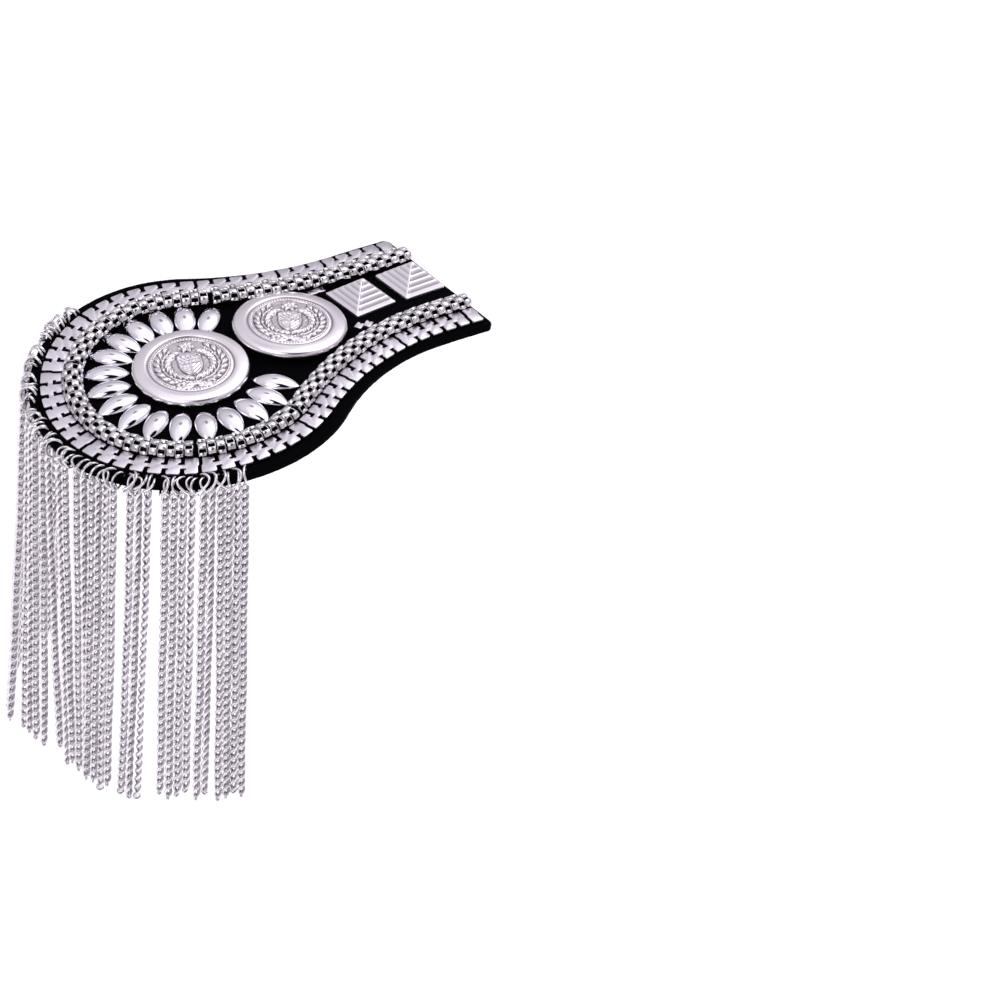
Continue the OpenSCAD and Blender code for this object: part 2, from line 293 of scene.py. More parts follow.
class Row:
    """A line beside the trim's edge: along the neck, through the hollow, around the round end and back."""

    def __init__(self, inset, reach):
        self.inset = inset
        self.reach = reach
        self.round_r = TRIM_ROUND_R - inset
        self.waist_r = TRIM_WAIST_R + inset
        self.neck = reach - TRIM_WAIST_X
        self.waist = self.neck + self.waist_r * (pi / 2 - TRIM_ANGLE)
        self.length = 2 * self.waist + self.round_r * (2 * pi - 2 * TRIM_ANGLE)

    def point(self, along, off=0.0):
        """Plan point at a distance along the row, and off it outward."""
        half = -1 if along > self.length / 2 else 1
        start = min(along, self.length - along)
        if start < self.neck:
            x, y = self.reach - start, self.inset - TRIM_NECK_HALF - off
        elif start < self.waist:
            turn = (start - self.neck) / self.waist_r
            radius = self.waist_r - off
            x, y = TRIM_WAIST_X - radius * sin(turn), radius * cos(turn) - TRIM_WAIST_Y
        else:
            turn = -TRIM_ANGLE - (start - self.waist) / self.round_r
            radius = self.round_r + off
            x, y = radius * cos(turn) - ROUND_X, radius * sin(turn)
        return np.array([x, half * y])

    def axes(self, along):
        """The directions along the row, outward and up, in the row frame."""
        at = self.point(along)
        out = unit(self.point(along, 0.05 * MM) - at)
        ex, ey, ez = felt_axes(at[0])
        return out[1] * ex - out[0] * ey, out[0] * ex + out[1] * ey, ez


FLAT_ROW = Row(PLATE_W / 2, FLAT_REACH)
MESH_ROW = Row(PLATE_W + GLUE + MESH_W / 2, MESH_REACH)


# Materials

def nodes_of(name):
    """A new material, with its node tree and shader."""
    material = bpy.data.materials.new(name)
    material.use_nodes = True
    tree = material.node_tree
    return material, tree, tree.nodes["Principled BSDF"]


def feed(tree, node, inputs):
    """Gives a node its inputs, each a plain value or the output of another node."""
    for socket, value in inputs.items():
        if isinstance(value, bpy.types.NodeSocket):
            tree.links.new(value, node.inputs[socket])
        else:
            node.inputs[socket].default_value = value


def add_node(tree, kind, inputs, **settings):
    """A new node with its settings and inputs."""
    node = tree.nodes.new("ShaderNode" + kind)
    for name, value in settings.items():
        setattr(node, name, value)
    feed(tree, node, inputs)
    return node


def add_noise(tree, scale, detail=3.0, roughness=0.5, stretch=(1, 1, 1)):
    """A noise texture in the row frame, stretched if asked."""
    place = add_node(tree, "TexCoord", {}).outputs["Object"]
    if stretch != (1, 1, 1):
        place = add_node(tree, "Mapping", {"Vector": place, "Scale": stretch}).outputs["Vector"]
    inputs = {"Vector": place, "Scale": scale, "Detail": detail, "Roughness": roughness}
    return add_node(tree, "TexNoise", inputs).outputs["Fac"]


def add_range(tree, value, low, high, from_low=0.3, from_high=0.7):
    """A value spread from one range to another."""
    inputs = {"Value": value, "From Min": from_low, "From Max": from_high, "To Min": low, "To Max": high}
    return add_node(tree, "MapRange", inputs).outputs["Result"]


def add_mix(tree, factor, dark, light):
    """A colour between two, by a factor."""
    return add_node(tree, "Mix", {0: factor, 6: (*dark, 1), 7: (*light, 1)}, data_type="RGBA").outputs[2]


def add_math(tree, operation, *values):
    """The sum, product or other result of values, each a number or a node's output."""
    return add_node(tree, "Math", dict(enumerate(values)), operation=operation).outputs[0]


def add_bump(tree, shader, layers):
    """Bumps of several heights, one on the other."""
    below = {}
    for value, strength, distance in layers:
        bump = add_node(tree, "Bump", {"Height": value, "Strength": strength, "Distance": distance, **below})
        below = {"Normal": bump.outputs["Normal"]}
    feed(tree, shader, below)


def silver(name, dark, light, rough, wave=0.0, scratch=0.0, wave_scale=300, stained=0.12):
    """Plated metal: its colour follows each point's tone, some of it painted shade and highlight, with
    stains, fine scratches and soft waves.
    """
    material, tree, shader = nodes_of(name)
    tone = add_node(tree, "Attribute", {}, attribute_name="tone").outputs["Fac"]
    stain = add_range(tree, add_noise(tree, 160, 4), 0.0, stained)
    shade = add_math(tree, "MULTIPLY_ADD", tone, 1 - stained, stain)
    feed(tree, shader, {
        "Metallic": 1.0,
        "Base Color": add_mix(tree, shade, dark, light),
        "Roughness": add_range(tree, add_noise(tree, 900), *rough),
    })
    layers = []
    if wave:
        layers.append((add_noise(tree, wave_scale, 1), wave, 0.2 * MM))
    if scratch:
        layers.append((add_noise(tree, 2500, 2, stretch=(1, 6, 1)), scratch, 0.02 * MM))
    add_bump(tree, shader, layers)
    return material


def felt_material():
    """Black felt: matted fibre with a slight grey bloom on its nap."""
    material, tree, shader = nodes_of("black_felt")
    patch = add_noise(tree, 240, 5)
    fibre = add_noise(tree, 4200, 4, 0.7)
    feed(tree, shader, {
        "Base Color": add_mix(tree, patch, (0.0004, 0.0003, 0.0006), (0.003, 0.0025, 0.004)),
        "Roughness": add_range(tree, fibre, 0.85, 1.0),
        "Specular IOR Level": 0.02,
        "Sheen Weight": 0.004,
        "Sheen Roughness": 0.6,
        "Sheen Tint": (0.7, 0.7, 0.9, 1),
    })
    add_bump(tree, shader, [(patch, 0.5, 0.25 * MM), (fibre, 0.6, 0.12 * MM)])
    return material


FELT = felt_material()
FLAT_SILVER = silver("flat_silver", (0.02, 0.018, 0.024), (0.95, 0.9, 0.98), (0.26, 0.36), 0.04, 0.05, 220)
MESH_SILVER = silver("mesh_silver", (0.012, 0.01, 0.014), (1, 0.96, 1), (0.16, 0.28), 0.1, stained=0.1)
BUTTON_SILVER = silver("button_silver", (0.13, 0.1, 0.1), (1, 0.94, 1), (0.24, 0.27), stained=0.08)
PETAL_SILVER = silver("petal_silver", (0.5, 0.48, 0.54), (0.97, 0.94, 1), (0.03, 0.07), 0.1, 0.0, 260)
STUD_SILVER = silver("stud_silver", (0.42, 0.4, 0.46), (1, 0.95, 1), (0.3, 0.38), 0.03, 0.05, stained=0.1)
WIRE_SILVER = silver("wire_silver", (0.25, 0.23, 0.26), (1, 0.96, 1), (0.12, 0.22), 0.1)
FRINGE_SILVER = silver("fringe_silver", (0.2, 0.185, 0.215), (1, 0.95, 1), (0.18, 0.3), 0.1)
PIN_STEEL = silver("pin_steel", (0.45, 0.45, 0.47), (0.62, 0.62, 0.64), (0.25, 0.4), 0.0, 0.3, stained=0.2)


# Felt

def arc(centre, radius, start, end, step):
    """Plan points along an arc, without its last one."""
    count = max(2, round(abs(end - start) * radius / step))
    return circle(radius, start + (end - start) * np.arange(count) / count, centre)


def felt_outline(step):
    """The board's outline in plan, clockwise from the front of the neck's end."""
    waist_y = NECK_HALF + WAIST_R
    waist_x = sqrt((ROUND_R + WAIST_R) ** 2 - waist_y ** 2) - ROUND_X
    turn = atan2(waist_y, waist_x + ROUND_X)
    corner_x, corner_y = NECK_X - CORNER_R, NECK_HALF - CORNER_R
    straight = round((corner_x - waist_x) / step)
    line = np.linspace(corner_x, waist_x, straight, endpoint=False)
    front = np.vstack([
        arc((corner_x, -corner_y), CORNER_R, 0, -pi / 2, step / 2),
        np.column_stack([line, np.full(straight, -NECK_HALF)]),
        arc((waist_x, -waist_y), WAIST_R, pi / 2, pi - turn, step),
    ])
    around = arc((-ROUND_X, 0), ROUND_R, -turn, turn - 2 * pi, step)
    end = round(2 * corner_y / step)
    close = np.column_stack([np.full(end - 1, NECK_X), np.linspace(corner_y, -corner_y, end + 1)[1:-1]])
    return np.vstack([front, around, front[::-1] * [1, -1], close])


def outward(outline):
    """Unit directions out of a clockwise outline."""
    ahead = np.roll(outline, -1, 0) - np.roll(outline, 1, 0)
    return unit(np.column_stack([-ahead[:, 1], ahead[:, 0]]))


def points_inside(points, outline):
    """Which points lie inside a closed outline."""
    inside = np.zeros(len(points), bool)
    x, y = points[:, 0], points[:, 1]
    for (x1, y1), (x2, y2) in zip(outline, np.roll(outline, -1, 0)):
        if y1 != y2:
            inside ^= ((y1 > y) != (y2 > y)) & (x < (x2 - x1) * (y - y1) / (y2 - y1) + x1)
    return inside


def islands(obj):
    """The separate solids of a CAD node, each as its distinct points."""
    mesh = obj.data
    points = np.zeros(len(mesh.vertices) * 3)
    mesh.vertices.foreach_get("co", points)
    points = points.reshape(-1, 3)
    _, first, same = np.unique(np.round(points, 6), axis=0, return_index=True, return_inverse=True)
    same = same.ravel()
    parent = list(range(len(first)))

    def root(i):
        while parent[i] != i:
            parent[i] = parent[parent[i]]
            i = parent[i]
        return i

    for polygon in mesh.polygons:
        group = [same[v] for v in polygon.vertices]
        for other in group[1:]:
            parent[root(other)] = root(group[0])
    found = {}
    for i, place in enumerate(first):
        found.setdefault(root(i), []).append(points[place])
    return [np.array(group) for group in found.values()]


def heading(angle):
    """The plan direction at an angle."""
    return np.array([cos(angle), sin(angle)])


def around_end(place):
    """The angle of a place about the centre of the round end."""
    return atan2(place[1], place[0] + ROUND_X) % (2 * pi)


def ring_places():
    """Up to three jump rings for each CAD ring, by node: hole, heading, height, chain's angle, radius."""
    places = {}
    taken = []
    rng = random.Random(43)
    for node in RING_NODES:
        middles = [(points.min(0) + points.max(0)) / 2 for points in islands(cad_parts[node])]
        places[node] = []
        for angle, height in sorted((around_end(middle), middle[2] + RING_LIFT) for middle in middles):
            chain = (ROUND_R + STRAND_OUT) * heading(angle) - [ROUND_X, 0]
            for side in (-1, 1, 0):
                for _ in range(RING_TRIES):
                    turned = angle + rng.uniform(-RING_STRAY, RING_STRAY) + side * RING_SPLAY
                    across = rng.uniform(HOLE_IN, HOLE_FAR) + STRAND_OUT
                    hole = chain - across * heading(turned)
                    if all(np.hypot(*(hole - other)) > HOLE_GAP for other in taken):
                        taken.append(hole)
                        size = (across + rng.uniform(0.3, 0.6) * MM) / 2
                        places[node].append((hole, turned, height, angle, size))
                        break
    return places


RINGS = ring_places()
ALL_RINGS = [ring for node in RING_NODES for ring in RINGS[node]]


def felt_board():
    """The board's two faces, its cut edge, and the holes for the jump rings."""
    edge = felt_outline(1.1 * MM)
    out = outward(edge)
    rng = random.Random(11)
    wobble = np.array([rng.uniform(-0.07, 0.07) * MM for _ in edge])
    inner = edge - out * EDGE_INSET * MM
    centres = [ring[0] for ring in ALL_RINGS]
    holes = [circle(HOLE_R, full_turn(HOLE_SIDES), centre) for centre in centres]
    spacing, stray = 1.7 * MM, 0.2
    row_gap = spacing * 0.866
    clear_edge, clear_hole = 1.2 * MM, 1.1 * MM
    grid = []
    for r in range(int(2 * ROUND_R / row_gap) + 1):
        y = -ROUND_R + r * row_gap
        for c in range(int(150 * MM / spacing)):
            x = -ROUND_X - ROUND_R + (c + 0.5 * (r % 2)) * spacing
            grid.append((x + rng.uniform(-stray, stray) * spacing, y + rng.uniform(-stray, stray) * spacing))
    grid = np.array(grid)
    inside = points_inside(grid, edge - out * clear_edge)
    for centre in centres:
        inside &= np.hypot(*(grid - centre).T) > clear_hole
    flat = np.vstack([inner] + holes + [grid[inside]])
    rims = [loop(len(inner) + k * HOLE_SIDES, HOLE_SIDES) for k in range(len(holes))]
    lines = loop(0, len(inner)) + [pair for rim in rims for pair in rim]
    result = delaunay_2d_cdt([Vector(p / MM) for p in flat], lines, [], 1, 1e-4)
    plan = np.array([list(p) for p in result[0]]) * MM
    triangles = []
    for face in result[2]:
        middle = plan[list(face)].mean(0)
        if min(np.hypot(*(middle - centre)) for centre in centres) > HOLE_R * 0.96:
            triangles.append(list(face))
    rough = np.array([noise.fractal(Vector((x, y, 0)) / (9 * MM), 1.0, 2.0, 3) for x, y in plan])
    layers = [above(*plan.T, (0.05 * rough - 0.04) * MM), above(*plan.T, (0.04 * rough + 0.04) * MM - FELT_T)]
    for depth, height in EDGE_LINES:
        line = edge - out * (depth * MM + wobble * (1 - depth / EDGE_INSET))[:, None]
        layers.append(above(*line.T, height * MM))
    count, size = len(plan), len(edge)
    faces = triangles + [[i + count for i in face[::-1]] for face in triangles]
    starts = [0] + [2 * count + k * size for k in range(len(EDGE_LINES))] + [count]
    for upper, lower in zip(starts, starts[1:]):
        faces += [[upper + i, lower + i, lower + j, upper + j] for i, j in loop(0, size)]
    for rim in rims:
        faces += [[i, j, count + j, count + i] for i, j in rim]
    soup = Soup()
    soup.add(np.vstack(layers), faces)
    board = soup.make("felt", FELT)
    face_out(board)
    return settle(board, "felt_board")


def felt_fuzz():
    """Loose fibres along the cut edge and over the faces."""
    rng = random.Random(5)
    edge = felt_outline(0.4 * MM)
    out = outward(edge)
    half_w = 0.02 * MM
    soup = Soup()
    for _ in range(FIBRES):
        on_edge = rng.random() < 0.75
        i = rng.randrange(len(edge))
        if on_edge:
            depth = rng.uniform(0, 1) * FELT_T
            base = above(*(edge[i] - out[i] * 0.05 * MM), -depth)
            lean = np.array([*out[i], rng.uniform(-0.5, 0.9)])
        else:
            x = rng.uniform(-ROUND_X - ROUND_R, NECK_X)
            y = rng.uniform(-ROUND_R, ROUND_R)
            if not points_inside(np.array([[x, y]]), edge[::12])[0]:
                continue
            base = above(x, y, -0.06 * MM)
            lean = np.array([rng.uniform(-1, 1), rng.uniform(-1, 1), rng.uniform(0.2, 0.8)])
        lean = unit(lean + [rng.uniform(-0.8, 0.8) for _ in range(3)])
        bend = np.array([rng.uniform(-1, 1) for _ in range(3)])
        side = unit(np.cross(lean, bend)) * half_w
        length = rng.uniform(0.25, 0.75) * MM
        middle = base + lean * length * 0.55
        tip = base + lean * length * 0.9 + bend * length * 0.35
        soup.add([base - side, base + side, middle + side, middle - side, tip], [[0, 1, 2, 3], [3, 2, 4]])
    return settle(soup.make("felt_fuzz", FELT), "felt_board")


# Flat chain

def inset_outline(outline, amount):
    """A small outline drawn in by an even amount."""
    ahead = unit(np.roll(outline, -1, 0) - outline)
    normal = np.column_stack([ahead[:, 1], -ahead[:, 0]])
    joint = normal + np.roll(normal, 1, 0)
    joint /= np.maximum((joint * normal).sum(1), 0.35)[:, None]
    return outline - joint * amount


def slab(outline, low, high, bevel):
    """A flat shape with a rounded upper edge, from an outline that runs anticlockwise."""
    rings = [(0.0, low), (0.0, high - bevel), (0.3 * bevel, high - 0.3 * bevel), (bevel, high)]
    points = [raised(inset_outline(np.array(outline), inset), height) for inset, height in rings]
    return np.vstack(points), solid_faces(len(rings), len(outline))


def box_outline(half_l, half_w):
    return [(-half_l, -half_w), (half_l, -half_w), (half_l, half_w), (-half_l, half_w)]


def plate_outline(pitch, first, last):
    """A plate in plan: hooked half slits at joints, and a stepped end at a break. Drawn in millimetres."""
    half, edge = pitch / 2 / MM, PLATE_W / 2 / MM
    lap, slit = 0.12, 0.68
    outer_foot, inner_foot = edge - 2.4, 2.8 - edge
    hook, hook_w = 0.75, 1.0
    barb, barb_w = 0.4, 0.75
    gap, step, soft = 0.58, 0.22, 0.35
    if last:
        low, high = half - gap - step, half - gap + step
        ahead = [(low, soft - edge), (low, -0.5), (high, 0.5), (high, edge - soft), (high - soft, edge)]
    else:
        root = half - slit
        ahead = [
            (root, soft - edge), (root, inner_foot), (half + lap, inner_foot), (half + lap, outer_foot),
            (root - barb, outer_foot), (root - barb, outer_foot + barb_w), (root, outer_foot + barb_w),
            (root, edge - soft), (root - soft, edge),
        ]
    if first:
        low, high = gap - step - half, gap + step - half
        behind = [
            (high + soft, edge), (high, edge - soft), (high, 0.5),
            (low, -0.5), (low, soft - edge), (low + soft, -edge),
        ]
    else:
        root = slit - half
        behind = [
            (root + soft, edge), (root, edge - soft), (root, outer_foot), (-half, outer_foot),
            (-half, inner_foot), (root + hook, inner_foot), (root + hook, inner_foot - hook_w),
            (root, inner_foot - hook_w), (root, soft - edge), (root + soft, -edge),
        ]
    return np.array([(ahead[0][0] - soft, -edge)] + ahead + behind) * MM


def on_flat_row(points, middle):
    """Points given along, out and up from a place of the flat row, laid on the row and on the arch."""
    plan = np.array([FLAT_ROW.point(middle + along, off) for along, off, _ in points])
    return above(*plan.T, points[:, 2])


def flat_chain():
    """Lengths of linked plates over a backing painted near black as shade, each plate lying a little
    differently.
    """
    pitch = FLAT_ROW.length / sum(PLATES_IN_LENGTH)
    box = box_outline(pitch / 2 - 0.8 * MM, PLATE_W / 2 - 0.5 * MM)
    backing, backing_faces = slab(box, GLUE, 0.5 * MM, PLATE_BEVEL)
    rng = random.Random(23)
    plate = 0
    for node, count in zip(FLAT_NODES, PLATES_IN_LENGTH):
        soup = Soup()
        for k in range(count):
            middle = (plate + 0.5) * pitch
            outline = plate_outline(pitch, k == 0, k == count - 1)
            points, faces = slab(outline, PLATE_LOW, PLATE_TOP - 0.06 * MM, PLATE_BEVEL)
            tip = np.clip(radians(rng.gauss(0, 0.6)), -0.025, 0.025)
            roll = np.clip(radians(rng.gauss(-1.0, 0.7)), -0.04, 0.01)
            # Painted shade: each plate's lowest points, along its foot and underside, are dark; each plate's
            # tone differs at random.
            tones = np.where(points[:, 2] > 1.0 * MM, 1.0, -0.1) * rng.uniform(0.85, 1.0)
            points[:, 2] += points[:, 0] * tip + points[:, 1] * roll
            soup.add(on_flat_row(points, middle), faces, tones)
            # Painted shade: the backing is near black, as the shade under the plates.
            soup.add(on_flat_row(backing, middle), backing_faces, -0.1)
            plate += 1
        settle(soup.make(node.replace("chain", "plates"), FLAT_SILVER, 28), node)


# Mesh chain

def rounded_block(length, width, thick):
    """A pillow-like block: a flat shape whose edges roll down."""
    spread = [-1.0, -0.82, 0.0, 0.82, 1.0]
    size = len(spread)
    points = []
    for v in spread:
        for u in spread:
            reach = max(abs(u), abs(v))
            corner = 0.88 if abs(u) == 1 and abs(v) == 1 else 1.0
            height = thick * (0.45 if reach == 1 else 0.95 if reach > 0.5 else 1.0)
            points.append((u * corner * length / 2, v * corner * width / 2, height))
    last = size - 1
    skirt = list(range(last)) + [size * r + last for r in range(last)]
    skirt += [size * last + c for c in range(last, 0, -1)] + [size * r for r in range(last, 0, -1)]
    base = len(points)
    points += [(points[i][0] * 0.9, points[i][1] * 0.9, -thick) for i in skirt]
    sides = [[skirt[i], base + i, base + j, skirt[j]] for i, j in loop(0, len(skirt))]
    return np.array(points), grid_faces(size, size) + sides


def open_link(length, width, wall, depth):
    """A rounded square band that stands on edge, so that one looks into it, and its tones of painted shade
    down its walls and inside.
    """
    turn = full_turn(16)
    power = 0.62
    shape = np.column_stack([
        np.sign(np.cos(turn)) * np.abs(np.cos(turn)) ** power * length / 2,
        np.sign(np.sin(turn)) * np.abs(np.sin(turn)) ** power * width / 2,
    ])
    inner = shape * [1 - 2 * wall / length, 1 - 2 * wall / width]
    lip = -0.12 * MM
    # Each ring: outline, height and tone; the low tones paint shade down the walls and deep inside.
    rings = [
        (shape, -depth, -0.1), (shape, lip, 0.6), (shape * 0.95, 0.0, 0.9),
        (inner * 1.05, 0.0, 0.8), (inner, lip, 0.1), (inner, -depth, -0.3),
    ]
    points = np.vstack([raised(ring, height) for ring, height, _ in rings])
    tones = np.repeat([tone for _, _, tone in rings], len(turn))
    return points, grid_faces(len(rings), len(turn), closed=True), tones


def mesh_frame(along, turn, sink):
    """Place and directions under the mesh chain's oval skin: along, around and out of it."""
    half_w, half_h = MESH_W / 2 - sink, MESH_H / 2 - sink
    ahead, out, up = MESH_ROW.axes(along)
    plan = MESH_ROW.point(along, half_w * cos(turn))
    origin = above(*plan, GLUE + MESH_H / 2 + half_h * sin(turn))
    normal = unit(np.array([cos(turn) / half_w, sin(turn) / half_h]))
    skyward = normal[0] * out + normal[1] * up
    return origin, ahead, np.cross(skyward, ahead), skyward


def mesh_turns():
    """Angles around the oval that space its rows evenly."""
    fine = np.linspace(0, 2 * pi, 721)
    run = np.hypot(MESH_W / 2 * np.diff(np.cos(fine)), MESH_H / 2 * np.diff(np.sin(fine)))
    total = np.concatenate([[0], np.cumsum(run)])
    return np.interp((np.arange(MESH_ROWS) + 0.5) / MESH_ROWS * total[-1], total, fine)


def mesh_chain():
    """Woven box links: in every row a flat side and an open link take turns, and rows are staggered."""
    block, block_faces = rounded_block(2.55 * MM, 2.2 * MM, 0.5 * MM)
    link, link_faces, link_shading = open_link(2.8 * MM, 2.35 * MM, wall=0.32 * MM, depth=1.1 * MM)
    rng = random.Random(31)
    ends = np.cumsum([0.0] + MESH_LENGTHS)
    for node, start, end in zip(MESH_NODES, ends, [*ends[1:], MESH_ROW.length]):
        low = start + (MESH_GAP / 2 if start else MESH_TRIM)
        high = end - (MESH_GAP / 2 if end < MESH_ROW.length else MESH_TRIM)
        soup = Soup()
        count = int((high - low) / MESH_PERIOD)
        period = (high - low) / count
        for r, turn in enumerate(mesh_turns()):
            for k in range(2 * count):
                along = low + period * (k / 2 + 0.25)
                jog = rng.uniform(-0.12, 0.12) * MM
                near_end = min(along, MESH_ROW.length - along) < MESH_TRIM + 2.6 * MM
                drawn = 0.3 * MM if near_end else 0.0
                if (k + r) % 2 == 0:
                    origin, ahead, around, out = mesh_frame(along + jog, turn, 0.46 * MM + drawn)
                    out = unit(out + ahead * rng.uniform(-0.13, 0.13) + around * rng.uniform(-0.12, 0.12))
                    ahead = np.cross(around, out)
                    soup.add(placed(block, origin, ahead, around, out), block_faces, rng.uniform(0.7, 1.05))
                else:
                    axes = mesh_frame(along + jog, turn, 0.5 * MM + drawn)
                    soup.add(placed(link, *axes), link_faces, link_shading * rng.uniform(0.65, 1.0))
        add_shade_core(soup, low, high)
        settle(soup.make(node.replace("chain", "links"), MESH_SILVER), node)


def add_shade_core(soup, low, high):
    """The near-black inside of a mesh chain, where the hidden backs of its links are: painted shade within
    the tube.
    """
    sides, sink, inset = 12, 1.35 * MM, 0.6 * MM
    steps = max(2, round((high - low) / (3 * MM)))
    alongs = np.linspace(low + inset, high - inset, steps + 1)
    points = [mesh_frame(along, turn, sink)[0] for along in alongs for turn in full_turn(sides)]
    # Painted shade: the tone sits below the material's dark end.
    soup.add(points, solid_faces(steps + 1, sides), -0.2)


# Set pieces

def on_felt(at, turn):
    """Origin and axes of a piece that is glued on the felt."""
    ex, ey, ez = felt_axes(at[0])
    return above(*at, GLUE), cos(turn) * ex + sin(turn) * ey, cos(turn) * ey - sin(turn) * ex, ez


def ridge(value, middle, half, power=0.5):
    """A ridge: 1 where a value is at its middle, 0 where it is past half a width."""
    return np.clip(1 - ((value - middle) / half) ** 2, 0, 1) ** power


def leaf(x, y, at, length, width, turn, rise):
    """A pointed leaf with a groove along its middle."""
    c, s = cos(turn), sin(turn)
    u = ((x - at[0]) * c + (y - at[1]) * s) / (length / 2)
    v = ((y - at[1]) * c - (x - at[0]) * s) / (width / 2)
    half = ridge(u, 0, 1, 1)
    body = ridge(v, 0, np.maximum(half, 1e-3)) * (np.abs(u) < 1)
    return rise * body * half ** 0.3 * (1 - 0.45 * np.exp(-(v / 0.16) ** 2))


def button_relief(x, y):
    """The relief's height from 0 to 1: a shield between leafy branches, with a rosette over it and a ribbon
    under it, all inside a ring of beads. x and y are in millimetres."""
    beads, scale = 84, 1.22
    radius = np.hypot(x, y)
    shapes = [
        np.zeros_like(x),
        0.55 * np.abs(np.cos(np.arctan2(y, x) * beads / 2)) * ridge(radius, 12.35, 0.36),
        0.42 * ridge(radius, 11.75, 0.18),
    ]
    x, y, radius = x / scale, y / scale, radius / scale
    wide = np.where(y > 0, 3.1, 3.1 * ridge(y, 0, 4.6))
    inside = np.minimum(wide - np.abs(x), np.minimum(3.2 - y, y + 4.6))
    field = np.clip(inside / 0.3, 0, 1)
    bars = 0.5 + 0.5 * np.cos((x * np.sign(y - 0.2) + y) * 5.2)
    checks = np.where((x > 0) ^ (y > -0.2), bars, 0.25 + 0.2 * np.cos(x * 8) * np.cos(y * 8))
    cross = np.maximum(np.exp(-(x / 0.28) ** 2), np.exp(-((y + 0.2) / 0.28) ** 2))
    shapes += [field * (0.42 + 0.22 * checks), 0.78 * ridge(inside, 0.35, 0.35, 1), 0.8 * cross * field]
    for side in (-1, 1):
        stem_turn = np.arctan2(y, side * x)
        shapes.append(0.5 * ridge(radius, 7.1, 0.25) * (stem_turn > -1.45) * (stem_turn < 0.95))
        for angle in np.radians(-78 + 14.5 * np.arange(10)):
            for row, lean in ((5.6, 0.55), (8.55, -0.55)):
                tip = angle + pi / 2 + lean
                at = row * heading(angle) * [side, 1]
                shapes.append(leaf(x, y, at, 2.9, 1.25, tip if side > 0 else pi - tip, 0.92))
        for angle in np.radians(-66 + 29 * np.arange(5)):
            berry_x, berry_y = 7.1 * heading(angle) * [side, 1]
            shapes.append(0.85 * ridge(np.hypot(x - berry_x, y - berry_y), 0, 0.48))
        curl_x, curl_y = x - side * 4.9, y - 3.4
        spin = np.hypot(curl_x, curl_y)
        coil = np.cos(spin * 5.0 - side * np.arctan2(curl_y, curl_x))
        shapes.append(0.62 * np.clip(coil, 0, 1) * np.clip((1.75 - spin) / 0.4, 0, 1))
    rosette_y = 6.7
    for angle in radians(90) + full_turn(7):
        shapes.append(leaf(x, y, 1.25 * heading(angle) + [0, rosette_y], 2.1, 1.15, angle, 0.9))
    shapes.append(ridge(np.hypot(x, y - rosette_y), 0, 0.6))
    sway = y + 8.1 + 0.06 * x * x - 0.35 * np.cos(x * 1.3)
    folds = 0.62 + 0.12 * np.cos(x * 2.4) - 0.2 * np.exp(-((np.abs(x) - 3.9) / 0.16) ** 2)
    shapes.append(ridge(sway, 0, 1.05, 0.3) * (np.abs(x) < 5.2) * folds)
    return np.maximum.reduce(shapes)


def button_points(seed):
    """A button's skin in its own axes: an upright edge, a satin slope, a groove and the relief."""
    edge, relief, top = BUTTON_R / MM, RELIEF_R / MM, BUTTON_H / MM
    wall = [
        (0.8, 0.0), (0.45, 0.35), (0.1, 0.75), (0, 1.0), (0, 1.4), (0.08, 1.8), (0.25, 2.15), (0.5, 2.45),
        (0.85, 2.7),
    ]
    lip = [(0.8, 3.16), (0.6, 3.05), (0.42, 2.88), (0.2, 2.8), (0, 2.86), (-0.15, 2.95), (-0.3, 2.96)]
    shoulder = edge - wall[-1][0]
    run = shoulder - relief - 1.1
    rings = [(edge - inset, height) for inset, height in wall]
    rings += [(shoulder - run * t, 2.7 + 0.5 * sin(t * pi / 2)) for t in np.linspace(0.08, 1, 12)]
    rings += [(relief + past, height) for past, height in lip]
    sides = 320
    turn = full_turn(sides)
    points = [raised(circle(radius, turn), height) for radius, height in rings]
    # Painted shade: the groove around the relief is darker.
    tones = [np.full(sides, 0.3 if relief - 0.1 < radius < relief + 0.5 else 1.0) for radius, _ in rings]
    field = np.linspace(relief - 0.45, 0.35, 88)
    radius, angle = np.meshgrid(field, turn, indexing="ij")
    x, y = radius * np.cos(angle), radius * np.sin(angle)
    rise = button_relief(x, y)
    # Painted shade: points lower than the relief around them, in its hollows, are darker.
    near = sum(button_relief(x + a, y + b) for a, b in ((0.45, 0), (-0.45, 0), (0, 0.45), (0, -0.45)))
    hollow = np.clip(near / 4 - rise, 0, 1)
    cast = np.array([noise.noise(Vector((a * 1.3, b * 1.3, seed))) for a, b in zip(x.ravel(), y.ravel())])
    cast = cast.reshape(x.shape)
    height = 2.74 + 0.3 * (1 - (radius / relief) ** 2) + 0.94 * rise + 0.08 * cast
    points.append(np.column_stack([x.ravel(), y.ravel(), np.minimum(height, top).ravel()]))
    # Painted highlight on the raised relief and painted shade in its hollows, with a random tone from the
    # noise.
    painted_highlight = np.clip((rise - 0.1) / 0.5, 0, 1)
    tones.append((0.74 + 0.3 * painted_highlight * painted_highlight * (3 - 2 * painted_highlight) + 0.12 * cast - 2.9 * hollow).ravel())
    rows = len(rings) + len(field)
    points.append(np.array([[0, 0, 3.4]]))
    tones.append(np.array([0.8]))
    faces = grid_faces(rows, sides, closed=True)
    faces += [[i, j, rows * sides] for i, j in loop((rows - 1) * sides, sides)]
    faces.append(list(range(sides))[::-1])
    return np.vstack(points) * MM, faces, np.concatenate(tones)


def tilted(points, towards, tilt):
    """Points turned to stand proud on one side, with the far side still down."""
    run = points[:, :2] @ towards
    c, s = cos(tilt), sin(tilt)
    plan = points[:, :2] + np.outer(run * (c - 1) - points[:, 2] * s, towards)
    return np.column_stack([plan, points[:, 2] * c + (run - run.min()) * s])


